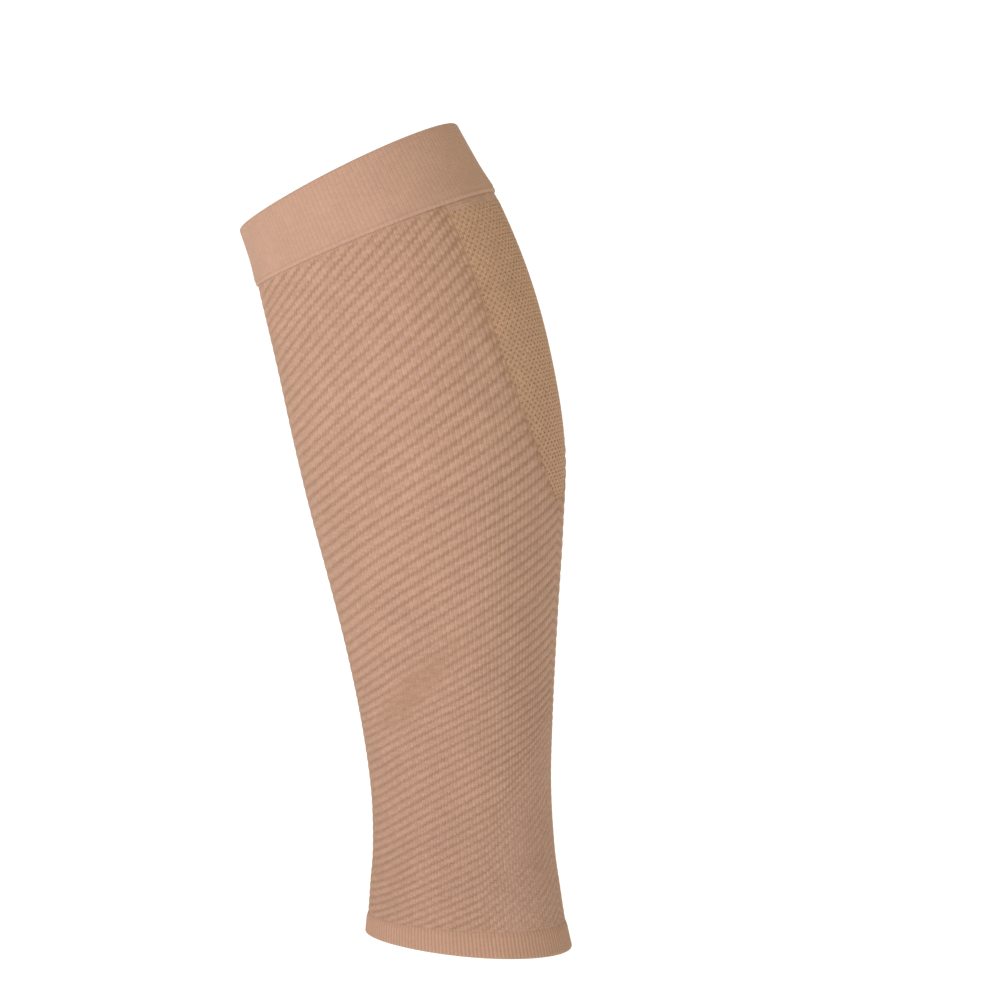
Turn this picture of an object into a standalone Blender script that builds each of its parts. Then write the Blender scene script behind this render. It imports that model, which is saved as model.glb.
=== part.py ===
# Calf compression sleeve: one seamless knitted tube for the lower leg, in the form it has when worn.
# Metres. +Z runs up along the leg, -Y to the shin, +Y to the calf and +X to the leg's outer side.
# The origin is the middle of the leg hollow at the fullest part of the calf.

from collections import namedtuple
from math import cos, pi, radians, sin

import bmesh
import bpy

# Driving dimensions
sleeve_height = 0.340  # middle of the ankle opening to the middle of the knee opening
calf_depth = 0.120  # shin to calf, outside, at the fullest section
calf_width = 0.108  # side to side, outside, at the fullest section
calf_bow = 0.0192  # how far the calf carries the middle line behind the straight line between the openings
shin_taper = 0.10  # how much narrower a section gets towards the shin, as a share of its width
knit_wall = 0.0014  # single knit of the leg
cuff_height = 0.029  # doubled welt under the knee, on the middle line
cuff_step = 0.0011  # how far the welt stands proud of the single knit
hem_height = 0.0102  # folded hem over the ankle, on the middle line
hem_step = 0.0005  # how far the hem stands proud of the single knit
mesh_height = 0.129  # open-knit panel, from the cuff down to its tip
mesh_half_angle = 35.5  # degrees from the back of the calf to the panel's side, at the cuff
mesh_tip_share = 0.30  # half width of the panel's blunt tip, as a share of its half width at the cuff
mesh_tip_rise = 0.006  # how far the tip's corners lie above its lowest point
mesh_fullness = 2.7  # how soon the panel widens above its tip; 1 is a straight side
mesh_rounding = 0.8  # how round its sides are next to the tip; 1 is the least
seam_gap = 0.0003  # clearance between two pieces that meet

# How finely the curves are cut into flat faces
ring_columns = 50  # round the leg, outside the open-knit panel
panel_columns = 10  # across the open-knit panel
lower_rows = 12  # from the hem to the panel's tip
upper_rows = 9  # from the panel's tip to the cuff
band_rows = 4  # up the straight part of the cuff
fold_steps = 4  # round a folded rim
sharp_angle = 50  # degrees between two faces, past which the edge is shaded sharp

# The leg's outside from ankle to knee. Height is a share of sleeve_height, depth of calf_depth, width of
# calf_width and bow of calf_bow. Tilt is how steeply the section rises towards the calf, in degrees.
Section = namedtuple("Section", "height depth width bow tilt")
sections = [
    Section(height=0.00, depth=0.765, width=0.667, bow=0.00, tilt=-12.7),
    Section(height=0.03, depth=0.735, width=0.648, bow=0.04, tilt=-10.8),
    Section(height=0.07, depth=0.708, width=0.625, bow=0.12, tilt=-9.8),
    Section(height=0.12, depth=0.676, width=0.611, bow=0.23, tilt=-8.3),
    Section(height=0.20, depth=0.669, width=0.620, bow=0.40, tilt=-5.4),
    Section(height=0.30, depth=0.717, width=0.690, bow=0.60, tilt=-1.6),
    Section(height=0.40, depth=0.793, width=0.778, bow=0.77, tilt=1.7),
    Section(height=0.50, depth=0.886, width=0.875, bow=0.91, tilt=4.2),
    Section(height=0.60, depth=0.973, width=0.958, bow=1.00, tilt=6.4),
    Section(height=0.70, depth=1.000, width=1.000, bow=0.94, tilt=9.0),
    Section(height=0.80, depth=0.990, width=0.991, bow=0.79, tilt=11.0),
    Section(height=0.90, depth=0.945, width=0.958, bow=0.50, tilt=12.8),
    Section(height=0.95, depth=0.893, width=0.940, bow=0.26, tilt=15.0),
    Section(height=1.00, depth=0.864, width=0.926, bow=0.00, tilt=17.9),
]
seat_share = 0.70  # height of the fullest section, where the origin lies

# Heights of the seams, measured on the middle line from the ankle opening
hem_seam = hem_height
cuff_seam = sleeve_height - cuff_height
mesh_tip = cuff_seam - mesh_height
mesh_shoulder = mesh_tip + mesh_tip_rise


def section_at(share):
    # Smooth curve through the table: cubic between two rows, with slopes taken from their neighbours
    last = len(sections) - 2
    i = max(k for k in range(last + 1) if k == 0 or sections[k].height <= share)
    low, high = sections[i], sections[i + 1]
    before = sections[max(i - 1, 0)]
    after = sections[min(i + 2, last + 1)]
    span = high.height - low.height
    t = (share - low.height) / span
    values = []
    for column in range(1, len(low)):
        slope_low = (high[column] - before[column]) / (high.height - before.height) * span
        slope_high = (after[column] - low[column]) / (after.height - low.height) * span
        rise = high[column] - low[column]
        cubic = slope_low + slope_high - 2 * rise
        square = 3 * rise - 2 * slope_low - slope_high
        values.append(low[column] + t * (slope_low + t * (square + t * cubic)))
    return values


def leg_point(height, angle, proud):
    # Point at a height on the middle line and an angle in degrees from the back of the calf towards the
    # outer side. Proud is how far it lies outside the single knit's outer face.
    depth, width, bow, tilt = section_at(height / sleeve_height)
    turn = radians(angle)
    along = (depth * calf_depth / 2 + proud) * cos(turn)
    across = (width * calf_width / 2 + proud) * sin(turn) * (1 + shin_taper * cos(turn))
    seat_bow = section_at(seat_share)[2]
    y = (bow - seat_bow) * calf_bow + along * cos(radians(tilt))
    z = height - seat_share * sleeve_height + along * sin(radians(tilt))
    return (across, y, z)


def add_object(name, bm, hex_colour, roughness):
    # Recompute outward faces, shade the knit smooth and give the piece its own material
    bmesh.ops.recalc_face_normals(bm, faces=bm.faces)
    mesh = bpy.data.meshes.new(name)
    bm.to_mesh(mesh)
    bm.free()
    mesh.shade_smooth()
    mesh.set_sharp_from_angle(angle=radians(sharp_angle))
    material = bpy.data.materials.new(name + "_knit")
    material.use_nodes = True
    shader = material.node_tree.nodes["Principled BSDF"]
    shader.inputs["Base Color"].default_value = linear_colour(hex_colour)
    shader.inputs["Roughness"].default_value = roughness
    shader.inputs["Metallic"].default_value = 0.0
    mesh.materials.append(material)
    piece = bpy.data.objects.new(name, mesh)
    bpy.context.scene.collection.objects.link(piece)
    return piece


def linear_colour(hex_colour):
    channels = [int(hex_colour[i:i + 2], 16) / 255 for i in (0, 2, 4)]
    linear = [c / 12.92 if c <= 0.04045 else ((c + 0.055) / 1.055) ** 2.4 for c in channels]
    return (*linear, 1.0)


def spread(start, end, steps):
    return [start + (end - start) * i / steps for i in range(steps + 1)]


def fold(rim, step, direction):
    # Half round of a folded rim in (height, proud) pairs, from the outer face over to the inner face
    radius = (knit_wall + step) / 2
    middle = (step - knit_wall) / 2
    turns = spread(0, pi, fold_steps)
    return [(rim + direction * radius * (sin(a) - 1), middle + radius * cos(a)) for a in turns]


def add_band(name, wall, hex_colour, roughness):
    # Closed ring of cloth: the wall's outline in (height, proud) pairs, carried round the leg
    columns = ring_columns + panel_columns
    bm = bmesh.new()
    rings = []
    for height, proud in wall:
        angles = [360 * i / columns for i in range(columns)]
        rings.append([bm.verts.new(leg_point(height, angle, proud)) for angle in angles])
    for j, ring in enumerate(rings):
        following = rings[(j + 1) % len(rings)]
        for i in range(columns):
            k = (i + 1) % columns
            bm.faces.new((ring[i], ring[k], following[k], following[i]))
    return add_object(name, bm, hex_colour, roughness)


def add_cuff():
    outer = fold(sleeve_height, cuff_step, 1)
    rows = spread(cuff_seam, outer[0][0], band_rows)[:-1]
    wall = [(height, cuff_step) for height in rows]
    wall += outer
    wall += [(height, -knit_wall) for height in reversed(rows)]
    return add_band("top_cuff", wall, "caa088", 0.82)


def add_hem():
    outer = fold(0.0, hem_step, -1)
    middle = (outer[0][0] + hem_seam) / 2
    wall = [(hem_seam, hem_step), (middle, hem_step)]
    wall += outer
    wall += [(middle, -knit_wall), (hem_seam, -knit_wall)]
    return add_band("ankle_hem", wall, "ba8f76", 0.82)


def mesh_half(height):
    # Half angle of the open-knit panel: a shield that narrows to a blunt tip
    share = max(0.0, (height - mesh_shoulder) / (cuff_seam - mesh_shoulder))
    shield = (1 - (1 - share) ** mesh_fullness) ** mesh_rounding
    return mesh_half_angle * (mesh_tip_share + (1 - mesh_tip_share) * shield)


def mesh_grid(inset):
    # Rows of (height, angle) pairs over the panel, from its tip to the cuff, drawn in by the inset
    rows = []
    inset_angle = inset / (calf_depth / 2) * 180 / pi
    for level in spread(0.0, 1.0, upper_rows):
        side = mesh_shoulder + level * (cuff_seam - seam_gap - mesh_shoulder)
        half = mesh_half(side) - inset_angle
        row = []
        for across in spread(-1.0, 1.0, panel_columns):
            dip = mesh_tip_rise * (1 - across ** 2) * (1 - level)
            lift = inset * (1 - level)
            row.append((side - dip + lift, half * across))
        rows.append(row)
    return rows


def add_mesh_panel():
    grid = mesh_grid(seam_gap)
    bm = bmesh.new()
    faces = [[[bm.verts.new(leg_point(h, a, proud)) for h, a in row] for row in grid]
             for proud in (0.0, -knit_wall)]
    for sheet in faces:
        for low, high in zip(sheet, sheet[1:]):
            for i in range(panel_columns):
                bm.faces.new((low[i], low[i + 1], high[i + 1], high[i]))
    outer, inner = faces
    join_loops(bm, edge_loop(outer), edge_loop(inner))
    return add_object("calf_mesh", bm, "a8836a", 0.85)


def edge_loop(grid):
    # The corners round the rim of a grid of points, once round
    left = [row[0] for row in grid]
    right = [row[-1] for row in grid]
    return grid[0][:-1] + right[:-1] + grid[-1][:0:-1] + left[:0:-1]


def join_loops(bm, first, second):
    for i in range(len(first)):
        k = (i + 1) % len(first)
        bm.faces.new((first[i], first[k], second[k], second[i]))


def add_leg_body():
    # A closed tube up to the row that holds the panel's tip, and above it a wall that is open at the back
    slot = mesh_grid(0.0)
    lower = spread(hem_seam + seam_gap, slot[0][0][0], lower_rows)[:-1]
    bm = bmesh.new()
    sheets = []
    for proud in (0.0, -knit_wall):
        tube = []
        for height in lower:
            half = mesh_half(height)
            back = spread(-half, half, panel_columns)
            tube.append(add_ring(bm, [(height, a) for a in back], height, half, proud))
        tube.append(add_ring(bm, slot[0], slot[0][0][0], slot[0][-1][1], proud))
        wall = [tube[-1][panel_columns:] + tube[-1][:1]]
        for row in slot[1:]:
            height, half = row[-1]
            wall.append(add_side(bm, height, half, proud))
        sheets.append((tube, wall))
    for tube, wall in sheets:
        for low, high in zip(tube, tube[1:]):
            join_loops(bm, low, high)
        for low, high in zip(wall, wall[1:]):
            for i in range(ring_columns):
                bm.faces.new((low[i], low[i + 1], high[i + 1], high[i]))
    (outer_tube, outer_wall), (inner_tube, inner_wall) = sheets
    join_loops(bm, outer_tube[0], inner_tube[0])
    tip = slice(0, panel_columns + 1)
    outer_rim = outer_tube[-1][tip] + slot_rim(outer_wall)
    inner_rim = inner_tube[-1][tip] + slot_rim(inner_wall)
    join_loops(bm, outer_rim, inner_rim)
    return add_object("leg_body", bm, "bf9478", 0.85)


def add_ring(bm, back, height, half, proud):
    # One full ring: across the back first, then round the outer side, the shin and the inner side
    around = spread(half, 360 - half, ring_columns)[1:-1]
    points = back + [(height, angle) for angle in around]
    return [bm.verts.new(leg_point(h, a, proud)) for h, a in points]


def add_side(bm, height, half, proud):
    # One row of the wall from the panel's outer side round the shin to its inner side
    around = spread(half, 360 - half, ring_columns)
    return [bm.verts.new(leg_point(height, angle, proud)) for angle in around]


def slot_rim(wall):
    # From the tip's outer corner up that side, along the cuff round the shin, and down the other side
    up = [row[0] for row in wall[1:]]
    down = [row[-1] for row in wall[-2:0:-1]]
    return up[:-1] + wall[-1] + down


for old in list(bpy.data.objects):
    bpy.data.objects.remove(old, do_unlink=True)

add_cuff()
add_leg_body()
add_mesh_panel()
add_hem()
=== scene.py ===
from math import cos, pi, radians, sin

import bpy
import numpy as np
from mathutils import Matrix, Vector


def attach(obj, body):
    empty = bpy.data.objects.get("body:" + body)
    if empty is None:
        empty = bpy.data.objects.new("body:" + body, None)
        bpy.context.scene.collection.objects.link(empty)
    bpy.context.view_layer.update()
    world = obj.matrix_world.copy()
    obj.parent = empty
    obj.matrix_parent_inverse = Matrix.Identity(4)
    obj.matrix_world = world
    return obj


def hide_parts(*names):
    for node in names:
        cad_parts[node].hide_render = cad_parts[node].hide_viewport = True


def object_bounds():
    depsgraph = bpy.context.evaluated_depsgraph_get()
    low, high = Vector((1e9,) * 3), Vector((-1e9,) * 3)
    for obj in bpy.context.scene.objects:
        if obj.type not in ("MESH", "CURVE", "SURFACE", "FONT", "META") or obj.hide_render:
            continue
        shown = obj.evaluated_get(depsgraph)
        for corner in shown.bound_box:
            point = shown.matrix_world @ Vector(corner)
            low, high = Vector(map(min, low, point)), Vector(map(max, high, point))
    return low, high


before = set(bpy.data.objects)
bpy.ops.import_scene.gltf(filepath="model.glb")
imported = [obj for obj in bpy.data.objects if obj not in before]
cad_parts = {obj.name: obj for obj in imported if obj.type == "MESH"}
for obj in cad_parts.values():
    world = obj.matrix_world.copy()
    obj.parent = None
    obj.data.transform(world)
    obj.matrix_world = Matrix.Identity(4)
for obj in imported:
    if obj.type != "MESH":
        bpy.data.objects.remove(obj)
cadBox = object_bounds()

# Calf compression sleeve, in metres: +Z up the leg, -Y to the shin, +Y to the calf, +X to the outer side.
# The sleeve is one knitted tube. Its stitch columns, the wales, run up the leg, and its rows are the courses.
print("frame loaded:", sorted(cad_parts))

millimetres = 1000           # in a metre

sleeve = {
    "height": 0.340,         # middle of the ankle opening to middle of the knee opening
    "calfDepth": 0.120,
    "calfWidth": 0.108,
    "calfBow": 0.0192,
    "shinTaper": 0.10,       # how much narrower each section is on its shin half
    "wall": 0.0014,          # single knit
    "seatShare": 0.70,       # height of the fullest section, where the origin lies
    "cuffSeam": 0.311,       # heights on the middle line
    "hemSeam": 0.0102,
    "wales": 150,            # stitch columns round the leg
    "blocks": 194,           # rows of blocks from the hem to the cuff; a block is one wale wide
    "perWale": 4,            # grid columns in a wale
    "perBlock": 3,           # grid rows in a block, but for the open knit's
    "anglePoints": 361,      # points for measuring half way round the leg
    "heightPoints": 2001,    # and all the way up it
}

# The leg's outside, ankle to knee: shares of height, calfDepth, calfWidth and calfBow, and a tilt in degrees
sectionTable = {
    "height": [0.00, 0.03, 0.07, 0.12, 0.20, 0.30, 0.40, 0.50, 0.60, 0.70, 0.80, 0.90, 0.95, 1.00],
    "depth": [0.765, 0.735, 0.708, 0.676, 0.669, 0.717, 0.793, 0.886, 0.973, 1.0, 0.99, 0.945, 0.893, 0.864],
    "width": [0.667, 0.648, 0.625, 0.611, 0.62, 0.69, 0.778, 0.875, 0.958, 1.0, 0.991, 0.958, 0.940, 0.926],
    "bow": [0.00, 0.04, 0.12, 0.23, 0.40, 0.60, 0.77, 0.91, 1.00, 0.94, 0.79, 0.50, 0.26, 0.00],
    "tilt": [-12.7, -10.8, -9.8, -8.3, -5.4, -1.6, 1.7, 4.2, 6.4, 9.0, 11.0, 12.8, 15.0, 17.9],
}


def smoothColumn(name, shares):
    # Cubic through the table's rows, each slope taken from the rows beside it
    rows = np.array(sectionTable["height"])
    values = np.array(sectionTable[name])
    before = np.r_[0, np.arange(len(rows) - 1)]
    after = np.r_[np.arange(1, len(rows)), len(rows) - 1]
    slopes = (values[after] - values[before]) / (rows[after] - rows[before])
    low = np.clip(np.searchsorted(rows, shares, side="right") - 1, 0, len(rows) - 2)
    span = rows[low + 1] - rows[low]
    t = (shares - rows[low]) / span
    rise = values[low + 1] - values[low]
    startSlope = slopes[low] * span
    endSlope = slopes[low + 1] * span
    square = 3 * rise - 2 * startSlope - endSlope
    cubic = startSlope + endSlope - 2 * rise
    return values[low] + t * (startSlope + t * (square + t * cubic))


def legPoints(shares, angles, proud):
    # Points of the leg's outside, or proud of it. Angles are in radians from the back of the calf.
    depth = smoothColumn("depth", shares) * sleeve["calfDepth"] / 2 + proud
    width = smoothColumn("width", shares) * sleeve["calfWidth"] / 2 + proud
    tilt = np.radians(smoothColumn("tilt", shares))
    seatBow = smoothColumn("bow", np.array([sleeve["seatShare"]]))[0]
    bow = (smoothColumn("bow", shares) - seatBow) * sleeve["calfBow"]
    along = depth * np.cos(angles)
    x = width * np.sin(angles) * (1 + sleeve["shinTaper"] * np.cos(angles))
    y = bow + along * np.cos(tilt)
    z = (shares - sleeve["seatShare"]) * sleeve["height"] + along * np.sin(tilt)
    return np.stack([x, y, z], -1)


def waleAngles(shares, perWale):
    # The angle of every grid column on each row, evenly spaced along the cloth from the shin, round by the
    # outer side to the back and on by the inner side
    fine = np.linspace(pi, 0, sleeve["anglePoints"])
    columns = sleeve["wales"] * perWale // 2
    half = np.empty((len(shares), columns + 1))
    for i, share in enumerate(shares):
        ring = legPoints(np.full(len(fine), share), fine, 0.0)
        length = np.r_[0, np.cumsum(np.linalg.norm(np.diff(ring, axis=0), axis=1))]
        half[i] = np.interp(np.linspace(0, length[-1], columns + 1), length, fine)
    return np.hstack([half, -half[:, -2:0:-1]])


def perRow(values, angles):
    # One value a row, given to every column of a grid
    return values[:, None] + 0 * angles


def smoothStep(low, high, values):
    t = np.clip((values - low) / (high - low), 0, 1)
    return t * t * (3 - 2 * t)


# Mesh and node helpers

def meshFromArrays(name, points, corners, sizes):
    # A mesh from numpy arrays: corner indices one face after another, and each face's number of corners
    mesh = bpy.data.meshes.new(name)
    mesh.vertices.add(len(points))
    mesh.vertices.foreach_set("co", points.astype(np.float32).ravel())
    mesh.loops.add(len(corners))
    mesh.loops.foreach_set("vertex_index", corners.astype(np.int32))
    mesh.polygons.add(len(sizes))
    starts = np.r_[0, np.cumsum(sizes)[:-1]]
    mesh.polygons.foreach_set("loop_start", starts.astype(np.int32))
    mesh.update(calc_edges=True)
    mesh.shade_smooth()
    return mesh


def gridQuads(rows, around):
    # Corners of every cell of a closed ring of columns, with the faces pointing away from the leg
    r, c = np.meshgrid(np.arange(rows - 1), np.arange(around), indexing="ij")
    beside = (c + 1) % around
    low = r * around
    high = low + around
    return np.stack([low + c, low + beside, high + beside, high + c], -1)


def storeOnPoints(mesh, name, values):
    layer = mesh.attributes.new(name, "FLOAT", "POINT")
    layer.data.foreach_set("value", np.ascontiguousarray(values, dtype=np.float32).ravel())


def storeUv(mesh, wale, course):
    layer = mesh.uv_layers.new(name="knitUv")
    layer.data.foreach_set("uv", np.stack([wale, course], -1).astype(np.float32).ravel())


def readVector(data, key):
    values = np.empty(len(data) * 3, dtype=np.float32)
    data.foreach_get(key, values)
    return values.reshape(-1, 3)


def readFloat(mesh, name):
    values = np.empty(len(mesh.vertices), dtype=np.float32)
    mesh.attributes[name].data.foreach_get("value", values)
    return values


def hexColour(code):
    # From a screen's colour code to linear light
    channels = [int(code[i:i + 2], 16) / 255 for i in (1, 3, 5)]
    linear = [c / 12.92 if c <= 0.04045 else ((c + 0.055) / 1.055) ** 2.4 for c in channels]
    return (*linear, 1.0)


def addNode(tree, kind, inputs, output=0, **settings):
    # Adds one node with its settings, values and links, and gives back one of its outputs
    node = tree.nodes.new(kind)
    for name, value in settings.items():
        setattr(node, name, value)
    for key, value in inputs.items():
        for item in value if isinstance(value, list) else [value]:
            if isinstance(item, bpy.types.NodeSocket):
                tree.links.new(item, node.inputs[key])
            else:
                node.inputs[key].default_value = item
    return node.outputs[output] if len(node.outputs) else node


def addMath(tree, operation, *values):
    return addNode(tree, "ShaderNodeMath", dict(enumerate(values)), operation=operation)


def addRange(tree, value, given, wanted, way="LINEAR"):
    # Carries a value from one range over to another
    return addNode(tree, "ShaderNodeMapRange",
                   {"Value": value, "From Min": given[0], "From Max": given[1], "To Min": wanted[0],
                    "To Max": wanted[1]}, interpolation_type=way)


def readFields(tree, names):
    # What is stored on the cloth's points
    return {name: addNode(tree, "GeometryNodeInputNamedAttribute", {"Name": name}, data_type="FLOAT")
            for name in names}


def newTree(name, sizes):
    # A Geometry Nodes tree with a cloth input, named sizes and a yarn material
    tree = bpy.data.node_groups.new(name, "GeometryNodeTree")
    tree.interface.new_socket("Cloth", in_out="INPUT", socket_type="NodeSocketGeometry")
    for label in sizes:
        tree.interface.new_socket(label, in_out="INPUT", socket_type="NodeSocketFloat")
    tree.interface.new_socket("Yarn", in_out="INPUT", socket_type="NodeSocketMaterial")
    tree.interface.new_socket("Knit", in_out="OUTPUT", socket_type="NodeSocketGeometry")
    return tree, tree.nodes.new("NodeGroupInput").outputs


def endTree(tree, cloth, yarn):
    real = addNode(tree, "GeometryNodeRealizeInstances", {"Geometry": cloth})
    dyed = addNode(tree, "GeometryNodeSetMaterial", {"Geometry": real, "Material": yarn})
    addNode(tree, "NodeGroupOutput", {"Knit": dyed})
    return tree


def applyTree(mesh, tree, values):
    # Runs a tree on a mesh and gives back the plain result
    piece = bpy.data.objects.new("cloth", mesh)
    bpy.context.scene.collection.objects.link(piece)
    modifier = piece.modifiers.new("knit", "NODES")
    modifier.node_group = tree
    for item in tree.interface.items_tree:
        if item.in_out == "INPUT" and item.name in values:
            modifier[item.identifier] = values[item.name]
    depsgraph = bpy.context.evaluated_depsgraph_get()
    made = bpy.data.meshes.new_from_object(piece.evaluated_get(depsgraph), preserve_all_data_layers=True,
                                           depsgraph=depsgraph)
    bpy.data.objects.remove(piece)
    bpy.data.meshes.remove(mesh)
    return made


# The slanting ribs, ankle to knee: how tall a rib is up the leg, in millimetres, and how many wales it takes
# to rise by one rib towards the back
ribTable = {
    "share": [0.00, 0.09, 0.13, 0.18, 0.22, 0.26, 0.31, 0.35, 0.40, 0.44, 0.49, 0.53, 0.57, 0.66, 0.71, 0.75,
              0.79, 0.84, 0.88, 0.93],
    "tall": [3.30, 3.46, 3.66, 3.82, 3.94, 3.71, 3.60, 4.10, 4.55, 4.75, 4.83, 5.02, 5.12, 5.33, 5.45, 5.69,
             5.57, 5.12, 4.83, 4.60],
    "across": [4.5, 4.6, 4.9, 5.2, 5.4, 5.8, 6.0, 6.0, 6.2, 6.3, 6.6, 7.0, 7.0, 6.4, 6.0, 5.8,
               5.3, 5.0, 4.5, 4.3],
}

ribs = {
    "height": 0.00052,       # crest over groove
    "beadCut": 0.44,         # how deep each wale is notched into the rib
    "knob": 0.30,            # height of the wales' knobs in the groove, as a share of the rib's
    "stair": 1.15,           # 0 is a smooth slanting rib, 1 steps it wale by wale, more tilts each bead
    "waleHeight": 0.00004,   # the wales' own backs
    "waleShade": 0.06,        # painted shade: how much darker the cloth is between two wales, lighter on their round backs
    "plainTone": 0.38,       # tone of the smooth cloth between groove, 0, and crest, 1
    "middleWale": 42.5,      # the wale on which the table was read
    "shinWale": 12.0,        # round this wale the ribs level out towards the shin
    "shinSpread": 16.0,
    "shinLeft": 0.45,        # what is left of their height on the shin
    "shinFrom": 2.0,         # the wales between which it comes back
    "shinTo": 20.0,
    "mean": 0.55,            # share of a bead's height that lies level with the smooth cloth
    "waleMean": 0.65,        # mean height of a wale's round back
    "endTone": 0.25,         # lighter where they end at the cuff and the hem
    "endFrom": 0.0002,       # they fade out between these heights below the cuff
    "endTo": 0.0016,
    "hemTo": 0.0012,         # and up to this height over the hem
    "insideTone": 0.75,      # tone of the plain inner face
    "profile": [(0.0, 0.0), (0.09, 0.18), (0.24, 0.68), (0.45, 1.0), (0.68, 0.82), (0.86, 0.28), (1.0, 0.0)],
}

# Over the heel cord the ribs turn steeper: from this wale on at the hem, and further back higher up
heelCord = {
    "across": 3.1,           # wales that a rib takes to rise by one rib
    "startWale": 48.0,
    "topShare": 0.30,        # share of the height at which the edge lies back by the whole lean
    "lean": 27.0,
    "bend": 1.5,             # wales over which a rib turns
    "edgeWales": 10.0,       # wales over which its height and tone change
    "calm": 0.12,            # share of its height that it loses
    "tone": 0.22,
}

# Smooth patch on each side of the leg, where the ribs nearly fade out
patch = {
    "share": 0.342,          # its middle, as a share of the sleeve's height and as a wale
    "wale": 33.0,
    "halfHeight": 0.0118,
    "halfWales": 14.5,
    "rise": 0.00110,         # how much higher it lies with each wale towards the back
    "from": 0.25,            # the ribs fade out between these shares of its half sizes
    "to": 1.35,
    "left": 0.14,            # what is left of their height
    "tone": 0.02,
}

# Open-knit panel at the back of the calf
panel = {
    "height": 0.129,
    "halfAngle": 35.5,
    "tipShare": 0.30,
    "tipRise": 0.006,
    "fullness": 2.7,
    "rounding": 0.8,
    "plainStrip": 0.0036,    # closed knit between the cuff and the first holes
    "holeColumns": 6,        # grid columns from one hole to the next in its row
    "blockRows": 4,          # grid rows in one row of holes
    "holeReach": 1.0,        # cells from a hole's middle to its rim
    "barFrom": 0.9,          # the yarn rises between these distances from a hole's middle, in cells
    "barTo": 2.2,
    "barSwing": 0.6,         # and as much below the cloth as above it, as a share of barHeight
    "cornerPull": 0.20,      # how far a hole's corners are drawn in, as a share of a cell
    "holeDepth": 0.00024,    # down to the elastane that crosses behind the holes
    "barHeight": 0.00020,    # how far the yarn stands up between the holes
    "wallShare": 0.8,        # the open knit's thickness, as a share of the wall
    "weld": 0.00001,         # points nearer than this are joined
    "sink": 0.00022,         # how far the thinner knit lies below the ribs
    "edgeFrom": -0.015,      # where the ribs begin and end to fade out, in radians into the panel
    "edgeTo": 0.012,
    "stripTone": 0.30,       # the plain strip is lighter than the open knit: partly its own closed knit, partly painted light against the cuff's shadow
    "stripBlur": 0.0004,     # half the height over which the one gives way to the other
    "edgePaintedShade": 0.26,        # painted shade: the ribs beside the panel are darker than the others, in place of the groove shade they lose as they fade
    "besideFrom": -0.200,    # where they start to darken, are darkest and end, in radians into the panel
    "besideTo": -0.010,
    "besideEnd": 0.030,
    "holePaintedShade": 0.50,        # painted shade: tone of the ground seen in the sunk holes
    "hueFrom": -0.040,       # where the yarn's colour turns into the open knit's, in radians into the panel
    "hueTo": 0.020,
}


def blockHeights(first, last, rows):
    # Shares of the sleeve's height for the grid rows of a run of blocks
    low = sleeve["hemSeam"] / sleeve["height"]
    high = sleeve["cuffSeam"] / sleeve["height"]
    return low + (high - low) * np.linspace(first, last, (last - first) * rows + 1) / sleeve["blocks"]


def panelDepth(shares, angles):
    # How far inside the open-knit shield a point lies, in radians round the leg; negative outside
    height = shares * sleeve["height"]
    tip = sleeve["cuffSeam"] - panel["height"]
    shoulder = tip + panel["tipRise"]
    share = np.clip((height - shoulder) / (sleeve["cuffSeam"] - shoulder), 0, 1)
    shield = (1 - (1 - share) ** panel["fullness"]) ** panel["rounding"]
    widest = radians(panel["halfAngle"])
    half = widest * (panel["tipShare"] + (1 - panel["tipShare"]) * shield)
    blunt = panel["tipRise"] * (angles / (widest * panel["tipShare"])) ** 2
    return np.minimum(half - np.abs(angles), (height - tip - blunt) / (sleeve["calfDepth"] / 2))


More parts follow.
